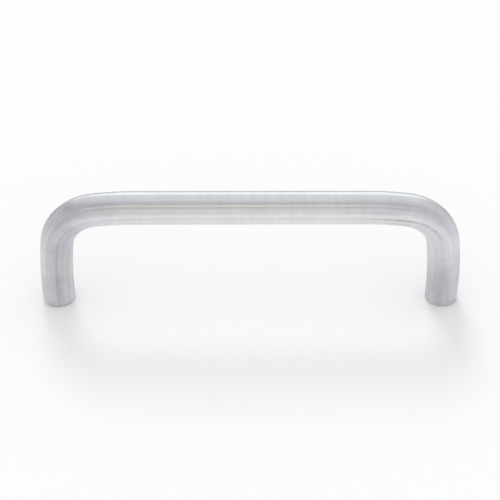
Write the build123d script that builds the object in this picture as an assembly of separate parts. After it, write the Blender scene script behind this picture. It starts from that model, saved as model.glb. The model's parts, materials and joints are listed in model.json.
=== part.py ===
from build123d import *
import os
from math import cos, radians, sin, tan

# A wire pull: one round metal rod bent into a U, with a tapped screw hole in the end of each leg.
# Its two feet stand on the drawer front, which is the plane z = 0. X runs along the grip, Z leads
# away from the drawer front, and the origin is midway between the two screw holes.
# Lengths are in millimetres and angles in degrees.

# Rod
rod_diameter = 8.0
hole_spacing = 96.0
projection = 32.0

# Bends: a tight arc in the middle, and a slack arc on either side that eases it into leg and grip.
# Each slack arc turns by the ease angle, and the leg's one fills the height between its straight
# end and the bend.
bend_inside_radius = 7.0
ease_angle = 8.0
grip_ease_radius = 70.0
leg_straight = 2.0

# Feet
foot_edge_radius = 0.5

# Screw holes, drilled for an M4 x 0.7 thread
tap_drill_diameter = 3.3
tap_drill_depth = 12.0
drill_point_angle = 118.0
countersink_diameter = 4.6
countersink_angle = 90.0

# Sizes that follow from those above
rod_radius = rod_diameter / 2
grip_height = projection - rod_radius
foot_places = (-hole_spacing / 2, hole_spacing / 2)


def centre_line():
    """The rod's centre line, from the left foot over the grip to the right foot."""
    bend_radius = bend_inside_radius + rod_radius
    ease = radians(ease_angle)
    bend_rise = bend_radius * (cos(ease) - sin(ease))
    grip_ease_rise = grip_ease_radius * (1 - cos(ease))
    leg_ease_rise = grip_height - leg_straight - bend_rise - grip_ease_rise

    leg = Line((foot_places[0], 0), (foot_places[0], leg_straight))
    leg_ease = JernArc(leg @ 1, leg % 1, leg_ease_rise / sin(ease), -ease_angle)
    bend = JernArc(leg_ease @ 1, leg_ease % 1, bend_radius, 2 * ease_angle - 90)
    grip_ease = JernArc(bend @ 1, bend % 1, grip_ease_radius, -ease_angle)
    grip = Line(grip_ease @ 1, (0, grip_height))

    half = Curve() + [leg, leg_ease, bend, grip_ease, grip]
    return (Plane.XZ * (half + mirror(half, about=Plane.YZ))).wire()


def bent_rod():
    """The rod swept along its centre line, with the rims of both feet rounded."""
    section = Pos(foot_places[0], 0, 0) * Circle(rod_radius)
    rod = sweep(section, path=centre_line())
    feet = rod.faces().group_by(Axis.Z)[0]
    return fillet(feet.edges(), foot_edge_radius)


def screw_hole():
    """What the drill and the countersink take out of a foot, standing on its mouth at z = 0."""
    drill_radius = tap_drill_diameter / 2
    mouth_radius = countersink_diameter / 2
    countersink_depth = (mouth_radius - drill_radius) / tan(radians(countersink_angle / 2))
    point_height = drill_radius / tan(radians(drill_point_angle / 2))
    profile = Polyline(
        (0, 0),
        (mouth_radius, 0),
        (drill_radius, countersink_depth),
        (drill_radius, tap_drill_depth),
        (0, tap_drill_depth + point_height),
        close=True,
    )
    return revolve(Plane.XZ * make_face(profile), Axis.Z)


pull = bent_rod() - [Pos(place, 0, 0) * screw_hole() for place in foot_places]

os.makedirs("parts", exist_ok=True)
export_step(pull, "parts/pull.step")
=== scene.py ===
"""Wire pull for a drawer or cabinet door: a satin metal rod bent into a U, tapped at both feet.

The rod is drawn up from its left foot, bent over the grip and mirrored. Each foot gets a rounded
rim and a drilled, countersunk and tapped screw hole. X runs along the grip, Z leads away from the
drawer front, and lengths are in metres.
"""

import json
from math import atan2, cos, hypot, pi, radians, sin, tan
from typing import NamedTuple

import bmesh
import bpy
from bpy.props import FloatProperty, FloatVectorProperty, IntProperty, PointerProperty
from mathutils import Matrix, Vector


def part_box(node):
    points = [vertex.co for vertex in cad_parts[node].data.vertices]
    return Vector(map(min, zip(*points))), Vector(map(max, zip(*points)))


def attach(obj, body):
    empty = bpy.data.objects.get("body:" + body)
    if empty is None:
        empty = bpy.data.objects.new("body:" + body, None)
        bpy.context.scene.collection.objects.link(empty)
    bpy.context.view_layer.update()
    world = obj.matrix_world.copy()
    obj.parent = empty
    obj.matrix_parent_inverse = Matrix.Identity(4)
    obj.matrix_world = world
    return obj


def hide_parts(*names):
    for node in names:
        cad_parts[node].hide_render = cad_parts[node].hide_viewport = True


bl_info = {
    "name": "Wire Pull",
    "version": (1, 0, 0),
    "blender": (4, 5, 0),
    "location": "3D View > Sidebar > Wire Pull",
    "description": "Builds a bent rod drawer pull with tapped feet and its studio",
    "category": "Object",
}

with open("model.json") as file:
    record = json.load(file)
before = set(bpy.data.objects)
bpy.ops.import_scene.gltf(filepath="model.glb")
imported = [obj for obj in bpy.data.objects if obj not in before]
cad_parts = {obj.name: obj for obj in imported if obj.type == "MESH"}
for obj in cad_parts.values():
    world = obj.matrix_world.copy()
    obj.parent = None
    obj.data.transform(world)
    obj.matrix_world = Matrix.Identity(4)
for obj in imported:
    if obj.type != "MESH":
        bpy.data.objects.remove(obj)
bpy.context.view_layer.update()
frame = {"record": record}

MM = 0.001
NODE = "pull"
BODY = "root"
ROD_WRAP = "rod_wrap"
HALF_TURN = 0.5
TINY = 1e-6
FOOT_EDGE_STEPS = 6
THREAD_HALF_ANGLE = radians(30)
SPARE_TURNS = 2
SMOOTH_ANGLE = radians(30)
SENSOR_WIDTH = 36
BLACK = (0, 0, 0, 1)
WHITE = (1, 1, 1, 1)


def to_tenth_of_mm(length):
    """A length of the faceted frame, rounded to the size it was drawn at."""
    return round(length / MM, 1) * MM


def frame_size():
    """The pull's width, depth and height in the frame."""
    low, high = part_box(NODE)
    return [to_tenth_of_mm(high[axis] - low[axis]) for axis in range(3)]


def mount(name):
    """One mount of the frame's record."""
    return next(found for found in frame["record"]["mounts"] if found["name"] == name)


FRAME_WIDTH, FRAME_DEPTH, FRAME_HEIGHT = frame_size()
SCREW_HOLE = mount("left_screw_hole")


class PullShape(bpy.types.PropertyGroup):
    """Sizes of the bent rod and its screw holes."""

    rod_diameter: FloatProperty(
        name="Rod Diameter",
        description="Thickness of the round rod",
        default=FRAME_DEPTH,
        subtype="DISTANCE",
    )
    hole_spacing: FloatProperty(
        name="Hole Spacing",
        description="Distance between the two screw holes",
        default=FRAME_WIDTH - FRAME_DEPTH,
        subtype="DISTANCE",
    )
    projection: FloatProperty(
        name="Projection",
        description="How far the grip stands off the drawer front",
        default=FRAME_HEIGHT,
        subtype="DISTANCE",
    )
    bend_inside_radius: FloatProperty(
        name="Bend Inside Radius",
        description="Radius inside the tight middle of each bend",
        default=7 * MM,
        subtype="DISTANCE",
    )
    ease_angle: FloatProperty(
        name="Ease Angle",
        description="How far the rod turns in the slack arc on either side of a bend",
        default=radians(8),
        subtype="ANGLE",
    )
    grip_ease_radius: FloatProperty(
        name="Grip Ease Radius",
        description="Centre-line radius of the slack arc between bend and grip",
        default=70 * MM,
        subtype="DISTANCE",
    )
    leg_straight: FloatProperty(
        name="Leg Straight",
        description="Straight length of each leg above its foot",
        default=2 * MM,
        subtype="DISTANCE",
    )
    foot_edge_radius: FloatProperty(
        name="Foot Edge Radius",
        description="Rounding of each foot's rim",
        default=0.5 * MM,
        subtype="DISTANCE",
    )
    drill_diameter: FloatProperty(
        name="Drill Diameter",
        description="Tapping drill of the screw holes",
        default=2 * SCREW_HOLE["dims"]["r_mm"] * MM,
        subtype="DISTANCE",
    )
    drill_depth: FloatProperty(
        name="Drill Depth",
        description="Depth of the screw holes, without the drill point",
        default=12 * MM,
        subtype="DISTANCE",
    )
    drill_point_angle: FloatProperty(
        name="Drill Point Angle",
        description="Full angle of the cone at the bottom of a screw hole",
        default=radians(118),
        subtype="ANGLE",
    )
    countersink_diameter: FloatProperty(
        name="Countersink Diameter",
        description="Width of a screw hole's mouth",
        default=4.6 * MM,
        subtype="DISTANCE",
    )
    countersink_angle: FloatProperty(
        name="Countersink Angle",
        description="Full angle of a screw hole's mouth",
        default=radians(90),
        subtype="ANGLE",
    )
    thread_diameter: FloatProperty(
        name="Thread Diameter",
        description="Outer diameter of the screw thread",
        default=4 * MM,
        subtype="DISTANCE",
    )
    thread_pitch: FloatProperty(
        name="Thread Pitch",
        description="Rise of the screw thread in one turn",
        default=0.7 * MM,
        subtype="DISTANCE",
    )
    thread_depth: FloatProperty(
        name="Thread Depth",
        description="How deep the screw holes are tapped",
        default=10 * MM,
        subtype="DISTANCE",
    )
    sides: IntProperty(
        name="Sides",
        description="Faces around the rod",
        default=96,
    )
    face_length: FloatProperty(
        name="Face Length",
        description="Length of the faces along the rod's straights",
        default=1.25 * MM,
        subtype="DISTANCE",
    )
    bend_step: FloatProperty(
        name="Bend Step",
        description="Turn from face to face along the bends",
        default=radians(3),
        subtype="ANGLE",
    )


class PullFinish(bpy.types.PropertyGroup):
    """Colour, sheen, painted shade, painted shadow lines and painted reflections of the metal."""

    metal_colour: FloatVectorProperty(
        name="Metal Colour",
        description="Colour of the satin rod where its brushing lies bright",
        default=(0.862, 0.863, 0.868),
        subtype="COLOR",
    )
    shade_colour: FloatVectorProperty(
        name="Shade Colour",
        description="Colour of the satin rod where its brushing lies dark",
        default=(0.66, 0.661, 0.67),
        subtype="COLOR",
    )
    edge_tint: FloatVectorProperty(
        name="Edge Tint",
        description="Colour of the satin rod where it turns out of sight",
        default=(0.9, 0.9, 0.9),
        subtype="COLOR",
    )
    roughness: FloatProperty(
        name="Roughness",
        description="Roughness of the satin rod",
        default=0.3,
        subtype="FACTOR",
    )
    grain: FloatProperty(
        name="Grain",
        description="How far the brushing stretches reflections along the rod",
        default=0.9,
        subtype="FACTOR",
    )
    # Painted shade: these two settings darken the legs and bends off the grip, for the floor's shade
    # that the metal mirrors there
    painted_shade_colour: FloatVectorProperty(
        name="Dull Colour",
        description="Colour that dulls the legs, which the buffing doesn't reach",
        default=(0.0, 0.01, 0.1),
        subtype="COLOR",
    )
    painted_shade: FloatProperty(
        name="Dulling",
        description="How much duller the legs are than the buffed grip",
        default=0.26,
        subtype="FACTOR",
    )
    skin_colour: FloatVectorProperty(
        name="Skin Colour",
        description="Colour of the thin oxide skin on the bends and the right leg",
        default=(0.7, 0.62, 1.0),
        subtype="COLOR",
    )
    skin: FloatProperty(
        name="Skin",
        description="How much the oxide skin tints the bends and the right leg",
        default=0.05,
        subtype="FACTOR",
    )
    # Painted shadow: this setting sets a dark line along the flanks for the pull's own shadow mirrored
    # from the floor
    painted_shadow_line: FloatProperty(
        name="Die Mark",
        description="How dark the line is that the bending dies leave along both flanks",
        default=0.06,
        subtype="FACTOR",
    )
    # Painted reflection: this setting sets darker patches for dark parts of the studio and shade
    # mirrored in the metal
    painted_dark_patch: FloatProperty(
        name="Press Patch",
        description="How much darker the patches are that the bending dies pressed",
        default=0.12,
        subtype="FACTOR",
    )
    stroke_depth: FloatProperty(
        name="Stroke Depth",
        description="Depth of the brush strokes around the rod",
        default=0.0008 * MM,
        subtype="DISTANCE",
    )
    wave_depth: FloatProperty(
        name="Wave Depth",
        description="Depth of the slow waves that drawing leaves in the rod",
        default=0.03 * MM,
        subtype="DISTANCE",
    )
    dent_depth: FloatProperty(
        name="Dent Depth",
        description="Depth of the unevenness that bending leaves in the rod",
        default=0.02 * MM,
        subtype="DISTANCE",
    )


class StudioSetting(bpy.types.PropertyGroup):
    """Camera, light and paper."""

    camera_distance: FloatProperty(
        name="Camera Distance",
        description="Distance of the camera from the middle of the pull",
        default=309.8 * MM,
        subtype="DISTANCE",
    )
    camera_elevation: FloatProperty(
        name="Camera Elevation",
        description="Angle of the camera above the drawer front",
        default=radians(38.96),
        subtype="ANGLE",
    )
    camera_turn: FloatProperty(
        name="Camera Turn",
        description="Angle of the camera to the right of the pull's middle",
        default=radians(0.084),
        subtype="ANGLE",
    )
    camera_roll: FloatProperty(
        name="Camera Roll",
        description="Turn of the camera about its own line of sight",
        default=radians(-0.147),
        subtype="ANGLE",
    )
    camera_raise: FloatProperty(
        name="Camera Raise",
        description="How far above the middle of the pull the camera looks",
        default=0.87 * MM,
        subtype="DISTANCE",
    )
    lens: FloatProperty(
        name="Lens",
        description="Focal length of the camera",
        default=91.04,
        subtype="DISTANCE_CAMERA",
    )
    lamp_elevation: FloatProperty(
        name="Lamp Elevation",
        description="Angle of the soft lamp behind the pull above the floor",
        default=radians(44),
        subtype="ANGLE",
    )
    lamp_turn: FloatProperty(
        name="Lamp Turn",
        description="Angle of the soft lamp to the left of straight behind the pull",
        default=radians(10),
        subtype="ANGLE",
    )
    lamp_width: FloatProperty(
        name="Lamp Width",
        description="Angle that the soft lamp fills",
        default=radians(22),
        subtype="ANGLE",
    )
    lamp_share: FloatProperty(
        name="Lamp Share",
        description="How much of the floor's light comes from the soft lamp",
        default=0.15,
        subtype="FACTOR",
    )
    paper_colour: FloatVectorProperty(
        name="Paper Colour",
        description="Colour of the paper that the pull stands on, and of all behind it",
        default=(0.985, 0.985, 0.985),
        subtype="COLOR",
    )
    paper_width: FloatProperty(
        name="Paper Width",
        description="Length of the paper along the grip",
        default=300 * MM,
        subtype="DISTANCE",
    )
    paper_front: FloatProperty(
        name="Paper Front",
        description="How far the paper reaches in front of the pull",
        default=116 * MM,
        subtype="DISTANCE",
    )
    paper_back: FloatProperty(
        name="Paper Back",
        description="How far the paper reaches behind the pull",
        default=65 * MM,
        subtype="DISTANCE",
    )


def deselect_all():
    """Leaves nothing selected, in object mode."""
    bpy.ops.object.select_all(action="DESELECT")


def select_only(piece, kind, wanted):
    """Selects only those edges or faces of the piece, in edit mode, that wanted() picks."""
    bpy.ops.mesh.select_mode(type=kind)
    bpy.ops.mesh.select_all(action="DESELECT")
    mesh = bmesh.from_edit_mesh(piece.data)
    for part in mesh.faces if kind == "FACE" else mesh.edges:
        part.select_set(wanted(part))
    bmesh.update_edit_mesh(piece.data)


def on_drawer_front(part):
    """Whether an edge or a face lies on the drawer front."""
    return all(abs(corner.co.z) < TINY for corner in part.verts)


def extrude(move):
    """Extrudes what is selected and moves it."""
    bpy.ops.mesh.extrude_region_move(TRANSFORM_OT_translate={"value": move})


class RodRoute:
    """The rod's centre line on its left half: leg, ease, bend, ease and half of the grip."""

    def __init__(self, shape):
        ease = shape.ease_angle
        self.rod_radius = shape.rod_diameter / 2
        self.foot = -shape.hole_spacing / 2
        self.grip_height = shape.projection - self.rod_radius
        self.leg_length = shape.leg_straight
        self.ease_angle = ease
        self.bend_angle = pi / 2 - 2 * ease
        self.bend_radius = shape.bend_inside_radius + self.rod_radius
        self.grip_ease_radius = shape.grip_ease_radius
        bend_reach = self.bend_radius * (cos(ease) - sin(ease))
        grip_ease_rise = self.grip_ease_radius * (1 - cos(ease))
        leg_ease_rise = self.grip_height - self.leg_length - bend_reach - grip_ease_rise
        self.leg_ease_radius = leg_ease_rise / sin(ease)
        leg_ease_reach = self.leg_ease_radius * (1 - cos(ease))
        self.grip_half = -self.foot - leg_ease_reach - bend_reach - self.grip_ease_radius * sin(ease)
        self.leg_ease_centre = Vector((self.foot + self.leg_ease_radius, 0, self.leg_length))
        inward = Vector((cos(ease), 0, -sin(ease)))
        self.bend_centre = self.leg_ease_centre - inward * (self.leg_ease_radius - self.bend_radius)
        self.grip_ease_centre = Vector((-self.grip_half, 0, self.grip_height - self.grip_ease_radius))
        self.bend_start = self.leg_length + self.leg_ease_radius * ease
        self.bend_end = self.bend_start + self.bend_radius * self.bend_angle
        self.grip_start = self.bend_end + self.grip_ease_radius * ease
        self.half_length = self.grip_start + self.grip_half

    def along_and_around(self, point):
        """How far along the rod a point of the left half lies, and its turn around the rod."""
        if point.z <= self.leg_length:
            return point.z, atan2(point.y, self.foot - point.x)
        turned = self.turn_about(self.leg_ease_centre, point)
        if turned <= self.ease_angle:
            along = self.leg_length + self.leg_ease_radius * turned
            return along, self.turn_around(self.leg_ease_centre, self.leg_ease_radius, point)
        turned = self.turn_about(self.bend_centre, point) - self.ease_angle
        if turned <= self.bend_angle:
            along = self.bend_start + self.bend_radius * turned
            return along, self.turn_around(self.bend_centre, self.bend_radius, point)
        if point.x < -self.grip_half:
            turned = self.turn_about(self.grip_ease_centre, point) - self.ease_angle - self.bend_angle
            along = self.bend_end + self.grip_ease_radius * turned
            return along, self.turn_around(self.grip_ease_centre, self.grip_ease_radius, point)
        return self.grip_start + point.x + self.grip_half, atan2(point.y, point.z - self.grip_height)

    @staticmethod
    def turn_about(centre, point):
        """How far the line has turned from the leg's direction when it passes the point."""
        return atan2(point.z - centre.z, centre.x - point.x)

    @staticmethod
    def turn_around(centre, radius, point):
        """The point's turn around the rod, from the outside of the bend."""
        return atan2(point.y, hypot(point.x - centre.x, point.z - centre.z) - radius)

    def wrap(self, point):
        """A point of the rod on its UV map: u from foot to foot, v once around."""
        along, around = self.along_and_around(Vector((-abs(point.x), point.y, point.z)))
        share = along / (2 * self.half_length)
        if point.x > 0:
            share = 1 - share
        return share, around / (2 * pi) + HALF_TURN


def draw_straight(length, direction, face_length):
    """Extrudes the selected ring straight on, in equal steps."""
    steps = max(1, round(length / face_length))
    for _ in range(steps):
        extrude([length / steps * share for share in direction])


def bend_over(centre, angle, step):
    """Spins the selected ring about a bend's centre, from the leg towards the grip."""
    steps = max(2, round(angle / step))
    bpy.ops.mesh.spin(steps=steps, angle=-angle, center=centre, axis=(0, 1, 0))


def draw_half_rod(shape, route):
    """Draws the left half of the rod as an open tube, from its foot to the middle of the grip."""
    deselect_all()
    bpy.ops.mesh.primitive_circle_add(
        vertices=shape.sides,
        radius=route.rod_radius,
        fill_type="NOTHING",
        location=(route.foot, 0, 0),
    )
    pull = bpy.context.object
    pull.name = "bent_pull"
    pull.data.name = "bent_pull"
    bpy.ops.object.transform_apply(location=True, rotation=False, scale=False)
    bpy.ops.object.mode_set(mode="EDIT")
    bpy.ops.mesh.select_all(action="SELECT")
    draw_straight(route.leg_length, (0, 0, 1), shape.face_length)
    bend_over(route.leg_ease_centre, route.ease_angle, shape.face_length / route.leg_ease_radius)
    bend_over(route.bend_centre, route.bend_angle, shape.bend_step)
    bend_over(route.grip_ease_centre, route.ease_angle, shape.face_length / route.grip_ease_radius)
    draw_straight(route.grip_half, (1, 0, 0), shape.face_length)
    return pull


def close_foot(pull, shape):
    """Closes the rod's open end at the drawer front and rounds its rim."""
    select_only(pull, "EDGE", on_drawer_front)
    bpy.ops.mesh.edge_face_add()
    select_only(pull, "EDGE", on_drawer_front)
    bpy.ops.mesh.bevel(
        offset=shape.foot_edge_radius,
        offset_type="OFFSET",
        segments=FOOT_EDGE_STEPS,
        profile=0.5,
        affect="EDGES",
    )


def drill_foot(pull, shape, route):
    """Drills the screw hole up into the foot: countersunk mouth, straight wall and drill point."""
    rim_radius = route.rod_radius - shape.foot_edge_radius
    mouth_radius = shape.countersink_diameter / 2
    drill_radius = shape.drill_diameter / 2
    countersink_depth = (mouth_radius - drill_radius) / tan(shape.countersink_angle / 2)
    point_height = drill_radius / tan(shape.drill_point_angle / 2)
    narrowing = drill_radius / mouth_radius

    select_only(pull, "FACE", on_drawer_front)
    bpy.ops.mesh.inset(thickness=rim_radius - mouth_radius)
    extrude((0, 0, countersink_depth))
    bpy.ops.transform.resize(
        value=(narrowing, narrowing, 1),
        center_override=(route.foot, 0, countersink_depth),
    )
    extrude((0, 0, shape.drill_depth - countersink_depth))
    extrude((0, 0, point_height))
    bpy.ops.mesh.merge(type="CENTER")


def mirror_half(pull):
    """Mirrors the left half to the right and joins the two at the middle of the grip."""
    bpy.ops.object.mode_set(mode="OBJECT")
    mirror = pull.modifiers.new("right_half", "MIRROR")
    mirror.use_axis = (True, False, False)
    mirror.use_mirror_merge = True
    mirror.merge_threshold = TINY
    bpy.ops.object.modifier_apply(modifier=mirror.name)
    bpy.ops.object.mode_set(mode="EDIT")
    bpy.ops.mesh.select_all(action="SELECT")
    bpy.ops.mesh.remove_doubles(threshold=TINY)
    bpy.ops.mesh.normals_make_consistent(inside=False)
    bpy.ops.object.mode_set(mode="OBJECT")


def make_tap(shape, foot):
    """A right-handed tap standing in a screw hole: the thread's ridge as a closed solid."""
    major = shape.thread_diameter / 2
    pitch = shape.thread_pitch
    crest = pitch / 8
    flank = (pitch - crest) / 2
    core = major - flank / tan(THREAD_HALF_ANGLE)
    deselect_all()
    bpy.ops.mesh.primitive_plane_add(size=pitch, location=(foot, 0, 0))
    tap = bpy.context.object
    tap.name = "tap"
    bpy.ops.object.mode_set(mode="EDIT")
    bpy.ops.mesh.select_mode(type="VERT")
    bpy.ops.mesh.select_all(action="SELECT")
    bpy.ops.mesh.merge(type="CENTER")
    bpy.ops.transform.translate(value=(core, 0, -SPARE_TURNS * pitch))
    for out, up in ((major - core, flank), (0, crest), (core - major, flank)):
        bpy.ops.mesh.extrude_vertices_move(TRANSFORM_OT_translate={"value": (out, 0, up)})
    bpy.ops.object.mode_set(mode="OBJECT")
    turns = tap.modifiers.new("turns", "SCREW")
    turns.axis = "Z"
    turns.screw_offset = pitch
    turns.iterations = int(shape.thread_depth / pitch) + 2 * SPARE_TURNS
    turns.steps = shape.sides
    turns.render_steps = shape.sides
    turns.use_merge_vertices = True
    turns.merge_threshold = TINY
    bpy.ops.object.modifier_apply(modifier=turns.name)
    tap.rotation_euler.z = pi / shape.sides
    bpy.ops.object.transform_apply(location=True, rotation=True, scale=False)
    bpy.ops.object.mode_set(mode="EDIT")
    bpy.ops.mesh.select_all(action="SELECT")
    bpy.ops.mesh.remove_doubles(threshold=TINY)
    trim_tap(-pitch / 2, clear_inner=True)
    trim_tap(shape.thread_depth, clear_outer=True)
    bpy.ops.mesh.select_all(action="SELECT")
    bpy.ops.mesh.normals_make_consistent(inside=False)
    bpy.ops.object.mode_set(mode="OBJECT")
    return tap


def trim_tap(height, **side):
    """Cuts the tap off square at a height and closes it there."""
    bpy.ops.mesh.select_all(action="SELECT")
    bpy.ops.mesh.bisect(
        plane_co=(0, 0, height),
        plane_no=(0, 0, 1),
        use_fill=True,
        threshold=TINY / 10,
        **side,
    )


def tap_hole(pull, shape, foot):
    """Cuts the thread into one screw hole."""
    tap = make_tap(shape, foot)
    deselect_all()
    bpy.context.view_layer.objects.active = pull
    pull.select_set(True)
    thread = pull.modifiers.new("thread", "BOOLEAN")
    thread.operation = "DIFFERENCE"
    thread.solver = "EXACT"
    thread.object = tap
    bpy.ops.object.modifier_apply(modifier=thread.name)
    bpy.data.objects.remove(tap)


def wrap_rod(pull, route):
    """Gives the rod its UV map, with no face laid across the map's seam."""
    mesh = pull.data
    while mesh.uv_layers:
        mesh.uv_layers.remove(mesh.uv_layers[0])
    layer = mesh.uv_layers.new(name=ROD_WRAP)
    for face in mesh.polygons:
        corners = [route.wrap(mesh.vertices[corner].co) for corner in face.vertices]
        crosses_seam = max(v for _, v in corners) - min(v for _, v in corners) > HALF_TURN
        for loop, (u, v) in zip(face.loop_indices, corners):
            layer.uv[loop].vector = (u, v + 1 if crosses_seam and v < HALF_TURN else v)


class Wiring:
    """Adds nodes to a node tree and links them."""

    def __init__(self, owner):
        owner.use_nodes = True
        self.tree = owner.node_tree

    def node(self, kind, **settings):
        """A new node with its settings."""
        node = self.tree.nodes.new("ShaderNode" + kind)
        for name, value in settings.items():
            setattr(node, name, value)
        return node

    def feed(self, socket, source):
        """Links a socket to its source, or sets it to a plain value."""
        if isinstance(source, bpy.types.NodeSocket):
            self.tree.links.new(source, socket)
        else:
            socket.default_value = source

    def math(self, operation, *sources):
        """One step of reckoning with sockets and numbers."""
        node = self.node("Math", operation=operation)
        for socket, source in zip(node.inputs, sources):
            self.feed(socket, source)
        return node.outputs["Value"]

    def total(self, first, *others):
        """Sockets and numbers added together."""
        for other in others:
            first = self.math("ADD", first, other)
        return first

    def product(self, first, *others):
        """Sockets and numbers multiplied together."""
        for other in others:
            first = self.math("MULTIPLY", first, other)
        return first

    def fade(self, share, start, end):
        """The number that goes straight from start to end while the share goes from 0 to 1."""
        return self.math("MULTIPLY_ADD", share, end - start, start)

    def parts(self, vector):
        """The X, Y and Z of a vector."""
        node = self.node("SeparateXYZ")
        self.feed(node.inputs["Vector"], vector)
        return node.outputs

    def step(self, source, low, high, start=0.0, end=1.0):
        """Eases from start to end while the source goes from low to high."""
        node = self.node("MapRange", interpolation_type="SMOOTHSTEP")
        for socket, value in zip(node.inputs, (source, low, high, start, end)):
            self.feed(socket, value)
        return node.outputs["Result"]

    def between(self, source, rise, fall):
        """One while the source lies between two ramps, and nothing outside them."""
        return self.product(self.step(source, *rise), self.step(source, *fall, 1, 0))

    def blend(self, share, first, second, label=""):
        """The first colour going over to the second."""
        node = self.node("Mix", data_type="RGBA", label=label)
        colours = [socket for socket in node.inputs if socket.type == "RGBA"]
        self.feed(node.inputs["Factor"], share)
        self.feed(colours[0], first)
        self.feed(colours[1], second)
        return next(socket for socket in node.outputs if socket.type == "RGBA")

    def noise(self, place, rates, detail):
        """Noise about zero that changes so many times a unit in X, Y and Z."""
        scaled = self.node("VectorMath", operation="MULTIPLY")
        self.feed(scaled.inputs[0], place)
        self.feed(scaled.inputs[1], rates)
        noise = self.node("TexNoise")
        self.feed(noise.inputs["Vector"], scaled.outputs["Vector"])
        self.feed(noise.inputs["Scale"], 1)
        self.feed(noise.inputs["Detail"], detail)
        return self.math("SUBTRACT", noise.outputs["Fac"], 0.5)

    def bump(self, height, depth, normal=None):
        """Relief of a depth in metres, on top of another relief where one is given."""
        node = self.node("Bump")
        self.feed(node.inputs["Height"], height)
        self.feed(node.inputs["Distance"], depth)
        if normal:
            self.feed(node.inputs["Normal"], normal)
        return node.outputs["Normal"]


def solid_colour(colour):
    """A colour property with full opacity."""
    return (*colour, 1)


# How much of the streaks, clouds and dents is left in the even middle of the grip
EVEN_REST = 0.48

# How far each pattern shifts the metal's tone, about the middle between its shade and its full colour
MIDDLE_TONE = 0.5
STROKE_TONE = 0.92
GRIP_STROKE_TONE = 0.47
BAND_TONE = 0.45
STREAK_TONE = 1.2
CLOUD_TONE = 1.0
# Painted light: how much the patches under the grip and inside the left foot brighten the tone
PAINTED_GRIP_LIGHT = (0.36, 0.1)
PAINTED_FOOT_LIGHT = 0.4
RING_TONE = 1.2

# Depth of the turned rings, in brush strokes
RING_DEPTH = 5

# How far each pattern shifts the roughness
STROKE_ROUGHNESS = 0.12
CLOUD_ROUGHNESS = 0.08
UNEVEN_ROUGHNESS = 0.03

# The painted shade along the flanks, in millimetres across the rod, and how strong it is at the very
# feet
FLANK_MIDDLE = 0.6
FLANK_EDGE = (1.6, 3.4)
FOOT_PAINTED_SHADE = 0.65

# The painted shadow line, in millimetres: how far it wanders, and the edge over which it fades
LINE_WANDER = 0.5
LINE_EDGE = (0.05, 0.52)


class RodSurface:
    """Places on the rod in millimetres, as if it were straight and lay along X.

    along runs from the left foot to the right one. across runs from the outside of the bends to
    their inside, by the rod's radius either way. buffed is one on the grip and fades out towards the
    feet. uneven is one outside the grip's middle, and unevenness is how strong streaks, clouds and
    dents are.
    """

    def __init__(self, wiring, route):
        self.wiring = wiring
        self.length = 2 * route.half_length / MM
        radius = route.rod_radius / MM
        wrap = wiring.node("UVMap", uv_map=ROD_WRAP)
        share = wiring.parts(wrap.outputs["UV"])
        turn = wiring.product(share["Y"], 2 * pi)
        self.along = wiring.product(share["X"], self.length)
        self.across = wiring.product(wiring.math("COSINE", turn), radius)
        depth = wiring.product(wiring.math("SINE", turn), radius)
        place = wiring.node("CombineXYZ")
        for axis, distance in zip("XYZ", (self.along, self.across, depth)):
            wiring.feed(place.inputs[axis], distance)
        self.place = place.outputs["Vector"]
        # One on the grip and fading towards the feet; off the grip the colour carries painted shade
        # and stronger strokes
        self.on_grip = self.stretch((21, 36), self.from_right(23, 8))
        even = self.stretch((30, 58), self.from_right(58, 30))
        self.uneven = wiring.math("SUBTRACT", 1, even)
        self.unevenness = wiring.total(self.uneven, EVEN_REST)

    def from_right(self, *distances):
        """Places along the rod at these distances from the right foot."""
        return [self.length - distance for distance in distances]

    def stretch(self, rise, fall):
        """One on the stretch of rod between two ramps, and nothing outside them."""
        return self.wiring.between(self.along, rise, fall)

    def patch(self, along, across):
        """One on a patch of the surface, which has a ramp on each side, and nothing outside it."""
        return self.wiring.product(self.stretch(*along), self.wiring.between(self.across, *across))

    def noise(self, rates, detail):
        """Noise that changes so many times a millimetre along, across and through the rod."""
        return self.wiring.noise(self.place, rates, detail)


def painted_leg_shade(rod, finish):
    """How much painted shade darkens the metal off the grip, most along both flanks and less beside
    them, standing in for the floor's shade that the legs mirror.
    """
    wiring = rod.wiring
    # How much painted shade the rod has beside its flanks, from the left foot to the right one
    beside = wiring.total(
        wiring.step(rod.along, 5, 13, 0.8, 0.2),
        wiring.step(rod.along, 15, 20, 0, 0.25),
        wiring.step(rod.along, *rod.from_right(11, 5), 0, 0.5),
    )
    off_middle = wiring.math("ABSOLUTE", wiring.math("SUBTRACT", rod.across, FLANK_MIDDLE))
    flank = wiring.step(off_middle, *FLANK_EDGE, 1, beside)
    off_feet = rod.stretch((0, 10), rod.from_right(13, 1))
    off_grip = wiring.math("SUBTRACT", 1, rod.on_grip)
    return wiring.product(flank, wiring.fade(off_feet, FOOT_PAINTED_SHADE, 1), off_grip, finish.painted_shade)


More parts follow.
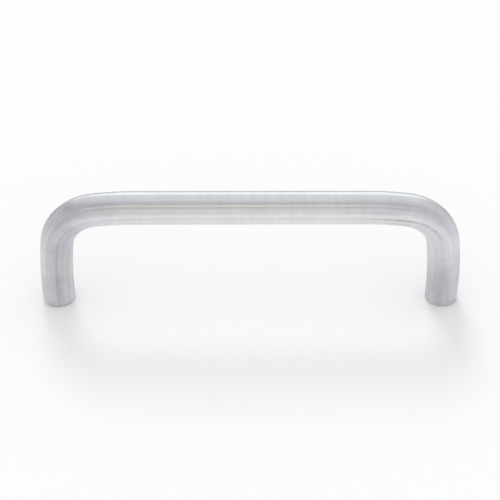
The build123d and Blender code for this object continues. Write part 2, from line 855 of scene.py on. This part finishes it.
def painted_shadow_lines(rod, finish):
    """A painted shadow line: a dark line along both flanks for the pull's own shadow mirrored from the
    floor, in dashes by the right bend.
    """
    wiring = rod.wiring
    wander = rod.noise(rates=(0.12, 0, 0), detail=2)
    breaks = rod.noise(rates=(0.35, 0, 0), detail=3)
    middle = wiring.step(rod.along, *rod.from_right(34, 20), 0.42, -0.1)
    off_middle = wiring.math("SUBTRACT", rod.across, middle)
    off_line = wiring.math("ABSOLUTE", wiring.math("MULTIPLY_ADD", wander, LINE_WANDER, off_middle))
    line = wiring.step(off_line, *LINE_EDGE, 1, 0)
    # How strong the line is along the rod, as multiples of the setting
    left_leg = wiring.step(rod.along, 22, 34, 2.2, 0.1)
    grip = wiring.step(rod.along, 60, 85, 0, 0.5)
    right_bend = rod.stretch(rod.from_right(46, 33), rod.from_right(24, 17))
    dashes = wiring.product(right_bend, wiring.step(breaks, -0.12, 0.12, 2.2, 5.5))
    off_right_leg = wiring.step(rod.along, *rod.from_right(24, 17), 1, 0)
    strength = wiring.product(wiring.total(left_leg, grip, dashes), off_right_leg)
    return wiring.product(line, strength, finish.painted_shadow_line)


def painted_dark_reflections(rod, finish):
    """Painted reflections: darker patches where the metal mirrors dark parts of the studio and the
    floor's shade.
    """
    outside_left_bend = rod.patch(
        along=((26, 28), (28.6, 29.7)),
        across=((-6, -5), (-3.6, -2.1)),
    )
    right_end_of_grip = rod.patch(
        along=(rod.from_right(45, 40), rod.from_right(38, 33)),
        across=((-2, -1.3), (-0.7, -0.1)),
    )
    inside_right_foot = rod.patch(
        along=(rod.from_right(9, 5), rod.from_right(2.5, 0.5)),
        across=((0.9, 1.6), (2.7, 3.3)),
    )
    patches = rod.wiring.total(outside_left_bend, right_end_of_grip, inside_right_foot)
    return rod.wiring.product(patches, finish.painted_dark_patch)


def painted_light_patches(rod):
    """How much painted light brightens the metal under the grip and inside the left foot, lifting the
    floor's shade that it mirrors there.
    """
    wiring = rod.wiring
    under_grip = rod.patch(
        along=((22, 27), rod.from_right(44, 32)),
        across=((0.1, 1), (1.8, 2.4)),
    )
    inside_left_foot = rod.patch(
        along=((-2, -1), (3, 13)),
        across=((1.4, 2.3), (2.8, 3.6)),
    )
    grip_tone = wiring.step(rod.along, 36, 52, *PAINTED_GRIP_LIGHT)
    return wiring.total(
        wiring.product(under_grip, grip_tone),
        wiring.product(inside_left_foot, PAINTED_FOOT_LIGHT),
    )


def oxide_skin(rod, finish):
    """How much the oxide skin tints the uneven stretches of the rod, apart from its left leg."""
    off_left_leg = rod.wiring.step(rod.along, 12, 24)
    return rod.wiring.product(rod.uneven, off_left_leg, finish.skin)


def satin_tone(rod, strokes, clouds):
    """How bright the brushing lies, between the metal's shade and its full colour, with painted light
    under the grip and inside the left foot.
    """
    wiring = rod.wiring
    bands = rod.noise(rates=(0.8, 0.1, 0.1), detail=2)
    streaks = rod.noise(rates=(0.04, 0.9, 0.9), detail=4)
    return wiring.total(
        MIDDLE_TONE,
        wiring.product(strokes, wiring.fade(rod.on_grip, STROKE_TONE, GRIP_STROKE_TONE)),
        wiring.product(bands, BAND_TONE),
        wiring.product(streaks, rod.unevenness, STREAK_TONE),
        wiring.product(clouds, rod.unevenness, CLOUD_TONE),
        # Painted light: brighter patches under the grip and inside the left foot
        painted_light_patches(rod),
    )


def satin_colour(rod, finish, strokes, clouds):
    """The metal's colour, with its brushing, its painted shade on the legs, its painted shadow line,
    its painted dark reflections and its skin.
    """
    wiring = rod.wiring
    tone = satin_tone(rod, strokes, clouds)
    colour = wiring.blend(tone, solid_colour(finish.shade_colour), solid_colour(finish.metal_colour))
    # Painted shade: the legs and their flanks darkened where they mirror the floor's shade
    colour = wiring.blend(painted_leg_shade(rod, finish), colour, solid_colour(finish.painted_shade_colour))
    # Painted shadow: a dark line along the flanks for the pull's own shadow mirrored from the floor
    colour = wiring.blend(painted_shadow_lines(rod, finish), colour, BLACK)
    # Painted reflection: darker patches for dark parts of the studio and shade mirrored in the metal
    colour = wiring.blend(painted_dark_reflections(rod, finish), colour, BLACK)
    return wiring.blend(oxide_skin(rod, finish), colour, solid_colour(finish.skin_colour))


def satin_roughness(rod, finish, strokes, clouds):
    """The metal's roughness, which changes with its brushing."""
    wiring = rod.wiring
    return wiring.total(
        finish.roughness,
        wiring.product(strokes, STROKE_ROUGHNESS),
        wiring.product(rod.uneven, UNEVEN_ROUGHNESS),
        wiring.product(clouds, CLOUD_ROUGHNESS),
    )


def satin_relief(rod, finish, strokes):
    """The waves that drawing leaves, the unevenness that bending leaves, and the brush strokes."""
    wiring = rod.wiring
    waves = rod.noise(rates=(0.1, 0.25, 0.25), detail=1)
    dents = rod.noise(rates=(0.4, 0.4, 0.4), detail=2)
    relief = wiring.bump(waves, finish.wave_depth)
    relief = wiring.bump(wiring.product(dents, rod.unevenness), finish.dent_depth, relief)
    return wiring.bump(strokes, finish.stroke_depth, relief)


def satin_metal(finish, route):
    """Satin metal, brushed around the rod."""
    material = bpy.data.materials.new("satin_aluminium")
    wiring = Wiring(material)
    shader = wiring.tree.nodes["Principled BSDF"].inputs
    rod = RodSurface(wiring, route)
    strokes = rod.noise(rates=(2.6, 0.18, 0.18), detail=4)
    clouds = rod.noise(rates=(0.15, 0.15, 0.15), detail=3)
    wiring.feed(shader["Base Color"], satin_colour(rod, finish, strokes, clouds))
    wiring.feed(shader["Roughness"], satin_roughness(rod, finish, strokes, clouds))
    wiring.feed(shader["Normal"], satin_relief(rod, finish, strokes))
    shader["Metallic"].default_value = 1
    shader["Specular Tint"].default_value = solid_colour(finish.edge_tint)
    shader["Anisotropic"].default_value = finish.grain
    tangent = wiring.node("Tangent", direction_type="UV_MAP", uv_map=ROD_WRAP)
    wiring.feed(shader["Tangent"], tangent.outputs["Tangent"])
    return material


def turned_metal(finish, route):
    """Bare metal with the rings that facing, drilling and tapping leave around each screw hole."""
    material = bpy.data.materials.new("turned_aluminium")
    wiring = Wiring(material)
    shader = wiring.tree.nodes["Principled BSDF"].inputs
    place = wiring.parts(wiring.node("TexCoord").outputs["Object"])
    from_hole = wiring.total(wiring.math("ABSOLUTE", place["X"]), route.foot)
    square = wiring.total(wiring.product(from_hole, from_hole), wiring.product(place["Y"], place["Y"]))
    ring = wiring.node("CombineXYZ")
    wiring.feed(ring.inputs["X"], wiring.math("DIVIDE", wiring.math("SQRT", square), MM))
    wiring.feed(ring.inputs["Y"], wiring.math("DIVIDE", place["Z"], MM))
    rings = wiring.noise(ring.outputs["Vector"], rates=(7, 3, 0), detail=3)
    tone = wiring.total(MIDDLE_TONE, wiring.product(rings, RING_TONE))
    colour = wiring.blend(tone, solid_colour(finish.shade_colour), solid_colour(finish.metal_colour))
    wiring.feed(shader["Base Color"], colour)
    wiring.feed(shader["Normal"], wiring.bump(rings, RING_DEPTH * finish.stroke_depth))
    shader["Metallic"].default_value = 1
    shader["Roughness"].default_value = finish.roughness
    return material


def mark_turned_faces(pull, shape, route):
    """Gives the foot faces and the screw holes the second material."""
    reach = route.rod_radius - shape.foot_edge_radius
    for face in pull.data.polygons:
        from_axis = hypot(abs(face.center.x) + route.foot, face.center.y)
        face.material_index = int(from_axis < reach and face.center.z < route.grip_height / 2)


class PULL_OT_add_rod(bpy.types.Operator):
    """Bend the rod, shape its feet and tap its screw holes"""

    bl_idname = "pull.add_rod"
    bl_label = "Add Bent Rod"

    def execute(self, context):
        shape = context.scene.pull_shape
        route = RodRoute(shape)
        pull = draw_half_rod(shape, route)
        close_foot(pull, shape)
        drill_foot(pull, shape, route)
        mirror_half(pull)
        for foot in (route.foot, -route.foot):
            tap_hole(pull, shape, foot)
        bpy.ops.object.shade_smooth_by_angle(angle=SMOOTH_ANGLE)
        wrap_rod(pull, route)
        pull.data.materials.clear()
        pull.data.materials.append(satin_metal(context.scene.pull_finish, route))
        pull.data.materials.append(turned_metal(context.scene.pull_finish, route))
        mark_turned_faces(pull, shape, route)
        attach(pull, BODY)
        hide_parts(NODE)
        return {"FINISHED"}


def add_camera(studio, shape):
    """Looks down on the grip from in front of the drawer front."""
    middle = Vector((0, 0, (shape.projection - shape.rod_diameter / 2) / 2))
    right = Vector((cos(studio.camera_turn), sin(studio.camera_turn), 0))
    front = Vector((right.y, -right.x, 0))
    back = front * cos(studio.camera_elevation) + Vector((0, 0, sin(studio.camera_elevation)))
    up = back.cross(right)
    place = middle + back * studio.camera_distance
    aim = middle + up * studio.camera_raise
    deselect_all()
    bpy.ops.object.camera_add(location=place)
    camera = bpy.context.object
    look = (aim - place).to_track_quat("-Z", "Y").to_matrix()
    camera.rotation_euler = (look @ Matrix.Rotation(studio.camera_roll, 3, "Z")).to_euler()
    camera.data.lens = studio.lens
    camera.data.sensor_width = SENSOR_WIDTH
    camera.data.clip_start = 10 * MM
    bpy.context.scene.camera = camera


class StudioPanel(NamedTuple):
    """A part of the studio that the metal mirrors, lit or dark, with the angles it fills in degrees.

    side runs from the left to the right of the pull's middle plane. turn runs from the front
    horizon over the zenith, at 90, to the back horizon, at 180. softness is how far the panel's
    edges fade, across side and across turn.
    """

    name: str
    light: tuple
    side: tuple
    turn: tuple
    softness: tuple


LEFT_WALL = (0.596, 0.586, 0.615, 1)
RIGHT_WALL = (0.635, 0.622, 0.665, 1)
WALL_CHANGE = (radians(-30), radians(60))
STUDIO_PANELS = (
    StudioPanel("left screen", (0.77, 0.77, 0.786, 1), (-110, -63), (-40, 200), (7, 8)),
    StudioPanel("left opening", (0.3, 0.295, 0.32, 1), (-53, -38), (90, 152), (3, 6)),
    StudioPanel("front gap", (0.588, 0.593, 0.572, 1), (-13, 15), (33, 75), (8, 5)),
    StudioPanel("front screen", (0.83, 0.812, 0.866, 1), (-17, 110), (-20, 28), (9, 6)),
    StudioPanel("right screen", (0.845, 0.826, 0.869, 1), (53, 110), (-30, 200), (8, 10)),
    StudioPanel("front panel", (0.868, 0.897, 0.849, 1), (-18, 10), (-20, 31), (5, 6)),
    StudioPanel("strip lamp", (1.11, 1.14, 1.0, 1), (-19, 13), (44, 54.5), (6, 2)),
    StudioPanel("ceiling", (0.846, 0.873, 0.896, 1), (-35, 34), (79, 190), (4, 14)),
    StudioPanel("ceiling lamp", (1.08, 1.1, 1.12, 1), (-37, -25), (94, 150), (3, 8)),
    StudioPanel("back panel", (1.23, 1.27, 1.26, 1), (-33, 25), (142, 176), (5, 6)),
    StudioPanel("back opening", (0.34, 0.335, 0.36, 1), (-45, -28), (164, 205), (5, 6)),
    StudioPanel("left back screen", (1.0, 1.0, 1.02, 1), (-80, -51), (142, 210), (4, 10)),
    StudioPanel("right back screen", (0.96, 0.94, 0.985, 1), (48, 80), (156, 210), (5, 8)),
    StudioPanel("right opening", (0.585, 0.573, 0.613, 1), (38, 66), (50, 92), (5, 10)),
    StudioPanel("table behind the paper", (0.57, 0.57, 0.57, 1), (-70, 70), (-200, -110), (10, 4)),
)


def within(wiring, angle, limits, softness):
    """One inside the limits of an angle in degrees, easing to nothing outside."""
    ramps = [(radians(limit - softness), radians(limit + softness)) for limit in limits]
    return wiring.between(angle, *ramps)


def mirrored_studio(wiring):
    """What the metal mirrors of the studio: its walls, with the panels in front of them."""
    ray = wiring.parts(wiring.node("TexCoord").outputs["Generated"])
    side = wiring.math("ARCSINE", ray["X"])
    turn = wiring.math("ARCTAN2", ray["Z"], wiring.product(ray["Y"], -1))
    light = wiring.blend(wiring.step(side, *WALL_CHANGE), LEFT_WALL, RIGHT_WALL, label="walls")
    for panel in STUDIO_PANELS:
        side_softness, turn_softness = panel.softness
        share = wiring.product(
            within(wiring, side, panel.side, side_softness),
            within(wiring, turn, panel.turn, turn_softness),
        )
        light = wiring.blend(share, light, panel.light, label=panel.name)
    return light


def light_studio(studio):
    """Lights the pull evenly, with the paper's white behind it and the studio in reflections."""
    world = bpy.data.worlds.new("studio")
    bpy.context.scene.world = world
    wiring = Wiring(world)
    world.cycles.sampling_method = "NONE"
    path = wiring.node("LightPath")
    even_light = wiring.tree.nodes["Background"]
    even_light.inputs["Color"].default_value = WHITE
    even_light.inputs["Strength"].default_value = 1 - studio.lamp_share
    behind = wiring.node("Background")
    behind.inputs["Color"].default_value = solid_colour(studio.paper_colour)
    mirrored = wiring.node("Background")
    wiring.feed(mirrored.inputs["Color"], mirrored_studio(wiring))
    in_reflection = wiring.math(
        "MAXIMUM",
        path.outputs["Is Glossy Ray"],
        path.outputs["Is Transmission Ray"],
    )
    light = even_light.outputs["Background"]
    for share, seen in ((in_reflection, mirrored), (path.outputs["Is Camera Ray"], behind)):
        choice = wiring.node("MixShader")
        wiring.feed(choice.inputs["Fac"], share)
        wiring.feed(choice.inputs[1], light)
        wiring.feed(choice.inputs[2], seen.outputs["Background"])
        light = choice.outputs["Shader"]
    wiring.feed(wiring.tree.nodes["World Output"].inputs["Surface"], light)


def hang_lamp(studio):
    """A soft lamp behind the pull, which throws its shadow forward and isn't mirrored in the metal."""
    level = Vector((sin(studio.lamp_turn), -cos(studio.lamp_turn), 0)) * cos(studio.lamp_elevation)
    beam = level - Vector((0, 0, sin(studio.lamp_elevation)))
    deselect_all()
    bpy.ops.object.light_add(type="SUN", location=-beam)
    lamp = bpy.context.object
    lamp.name = "back_lamp"
    lamp.rotation_euler = beam.to_track_quat("-Z", "Y").to_euler()
    lamp.data.angle = studio.lamp_width
    lamp.data.energy = studio.lamp_share * pi / sin(studio.lamp_elevation)
    lamp.visible_glossy = False


def lay_floor(studio):
    """A sheet of white paper under the pull."""
    depth = studio.paper_front + studio.paper_back
    middle = (studio.paper_back - studio.paper_front) / 2
    deselect_all()
    bpy.ops.mesh.primitive_plane_add(size=1, location=(0, middle, 0))
    floor = bpy.context.object
    floor.name = "floor"
    floor.scale = (studio.paper_width, depth, 1)
    bpy.ops.object.transform_apply(location=True, rotation=False, scale=True)
    paper = bpy.data.materials.new("white_paper")
    wiring = Wiring(paper)
    shader = wiring.tree.nodes["Principled BSDF"].inputs
    shader["Base Color"].default_value = solid_colour(studio.paper_colour)
    shader["Roughness"].default_value = 1
    shader["Specular IOR Level"].default_value = 0
    floor.data.materials.append(paper)


class PULL_OT_add_stage(bpy.types.Operator):
    """Lay the floor, set the lights and place the camera"""

    bl_idname = "pull.add_stage"
    bl_label = "Add Studio"

    def execute(self, context):
        studio = context.scene.pull_studio
        context.scene.view_settings.view_transform = "Standard"
        add_camera(studio, context.scene.pull_shape)
        light_studio(studio)
        hang_lamp(studio)
        lay_floor(studio)
        return {"FINISHED"}


class PULL_PT_sidebar(bpy.types.Panel):
    """Wire pull sizes, finish and studio"""

    bl_label = "Wire Pull"
    bl_idname = "PULL_PT_sidebar"
    bl_space_type = "VIEW_3D"
    bl_region_type = "UI"
    bl_category = "Wire Pull"

    def draw(self, context):
        layout = self.layout
        for group in (context.scene.pull_shape, context.scene.pull_finish, context.scene.pull_studio):
            column = layout.column()
            for name in group.bl_rna.properties.keys():
                if name not in ("rna_type", "name"):
                    column.prop(group, name)
        layout.operator(PULL_OT_add_rod.bl_idname)
        layout.operator(PULL_OT_add_stage.bl_idname)


CLASSES = (PullShape, PullFinish, StudioSetting, PULL_OT_add_rod, PULL_OT_add_stage, PULL_PT_sidebar)


def register():
    """Adds the classes and the scene's settings to Blender."""
    for entry in CLASSES:
        bpy.utils.register_class(entry)
    bpy.types.Scene.pull_shape = PointerProperty(type=PullShape)
    bpy.types.Scene.pull_finish = PointerProperty(type=PullFinish)
    bpy.types.Scene.pull_studio = PointerProperty(type=StudioSetting)


def unregister():
    """Takes the settings and the classes out again."""
    del bpy.types.Scene.pull_studio
    del bpy.types.Scene.pull_finish
    del bpy.types.Scene.pull_shape
    for entry in reversed(CLASSES):
        bpy.utils.unregister_class(entry)


def main():
    """Builds the pull and its studio."""
    register()
    bpy.ops.pull.add_rod()
    bpy.ops.pull.add_stage()


if __name__ == "__main__":
    main()
